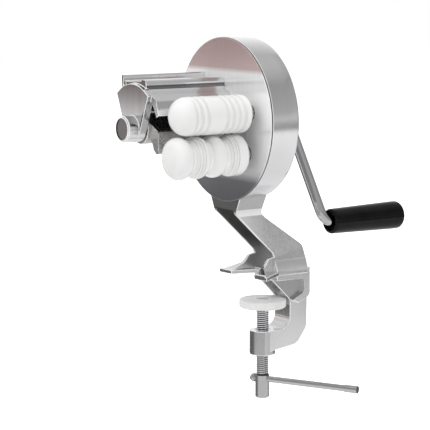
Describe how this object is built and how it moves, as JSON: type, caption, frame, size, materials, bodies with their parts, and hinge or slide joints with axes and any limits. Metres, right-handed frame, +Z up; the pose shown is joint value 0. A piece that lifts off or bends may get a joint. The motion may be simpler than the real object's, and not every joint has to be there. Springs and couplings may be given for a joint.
{
  "type": "hand-cranked pasta cutter with table clamp",
  "caption": "Hand-cranked cavatelli cutter: paired feed rollers beside a bladed rotor under a hood, gears in a round drum, cranked handle behind, clamp below.",
  "frame": {"origin": "on the clamp screw's axis, level with the underside of the clamp's upper jaw", "axes": "+Z up along the clamp screw, -Y the way the rollers and the jaw point, +X to the right as seen from the rollers' side"},
  "size_m": [0.1293, 0.215, 0.27],
  "materials": {
    "cast_aluminium": "satin",
    "brushed_face": "brushed",
    "steel": "satin",
    "chrome": "polished",
    "bronze": "satin",
    "white_plastic": "satin",
    "gear_plastic": "satin",
    "black_plastic": "gloss",
    "pad_plastic": "matt"
  },
  "bodies": {
    "frame": {"body_casting": "cast_aluminium", "face_plate": "brushed_face", "plate_screws": "steel", "cutter_hood": "cast_aluminium", "hood_screws": "steel", "arm_bush": "bronze", "arm_cap": "steel", "front_bush": "bronze", "rear_bush": "bronze", "roller_front_bushes": "gear_plastic", "roller_rear_bushes": "gear_plastic", "intermediate_pin": "steel"},
    "crank": {"main_shaft": "steel", "cutter_rotor": "cast_aluminium", "rotor_pin": "steel", "main_pinion": "steel", "shaft_collar": "steel", "crank_hub": "steel", "crank_screws": "steel", "crank_rod": "chrome", "handle_nut": "steel"},
    "handle": {"handle_grip": "black_plastic", "handle_cap": "black_plastic"},
    "intermediate": {"intermediate_pinion": "steel", "intermediate_wheel": "gear_plastic"},
    "upper_roll": {"upper_roller": "white_plastic", "upper_shaft": "steel", "upper_gear": "gear_plastic", "upper_clip": "steel"},
    "lower_roll": {"lower_roller": "white_plastic", "lower_shaft": "steel", "lower_gear": "gear_plastic", "lower_clip": "steel"},
    "pad": {"clamp_pad": "pad_plastic"},
    "screw": {"clamp_screw": "chrome", "pad_screw": "steel"},
    "bar": {"tommy_bar": "chrome", "tommy_knobs": "chrome"}
  },
  "joints": [
    {"name": "crank_turn", "type": "hinge", "parent": "frame", "child": "crank", "pos_m": [-0.0107, -0.0358, 0.1131], "axis": [0, 1, 0], "continuous": true},
    {"name": "handle_spin", "type": "hinge", "parent": "crank", "child": "handle", "pos_m": [0.03499, -0.0358, 0.04083], "axis": [0, 1, 0], "continuous": true},
    {"name": "intermediate_turn", "type": "hinge", "parent": "frame", "child": "intermediate", "pos_m": [0.00715, -0.0358, 0.09661], "axis": [0, 1, 0], "continuous": true},
    {"name": "lower_roller_turn", "type": "hinge", "parent": "frame", "child": "lower_roll", "pos_m": [0.03, -0.0358, 0.0945], "axis": [0, 1, 0], "continuous": true},
    {"name": "upper_roller_turn", "type": "hinge", "parent": "frame", "child": "upper_roll", "pos_m": [0.03388, -0.0358, 0.12395], "axis": [0, 1, 0], "continuous": true},
    {"name": "pad_slide", "type": "slide", "parent": "frame", "child": "pad", "axis": [0, 0, 1], "range_m": [-0.0122, 0.0004]},
    {"name": "screw_turn", "type": "hinge", "parent": "pad", "child": "screw", "pos_m": [0, 0, -0.05], "axis": [0, 0, 1], "range_deg": [-2928, 96]},
    {"name": "tommy_bar_slide", "type": "slide", "parent": "screw", "child": "bar", "axis": [0.8829, 0.4695, 0], "range_m": [-0.061, 0]}
  ],
  "couplings": [
    {"joint": "intermediate_turn", "follows": "crank_turn", "ratio": -0.5},
    {"joint": "lower_roller_turn", "follows": "crank_turn", "ratio": 0.27273},
    {"joint": "upper_roller_turn", "follows": "crank_turn", "ratio": -0.27273},
    {"joint": "screw_turn", "follows": "pad_slide", "rad_per_m": 4188.8}
  ]
}
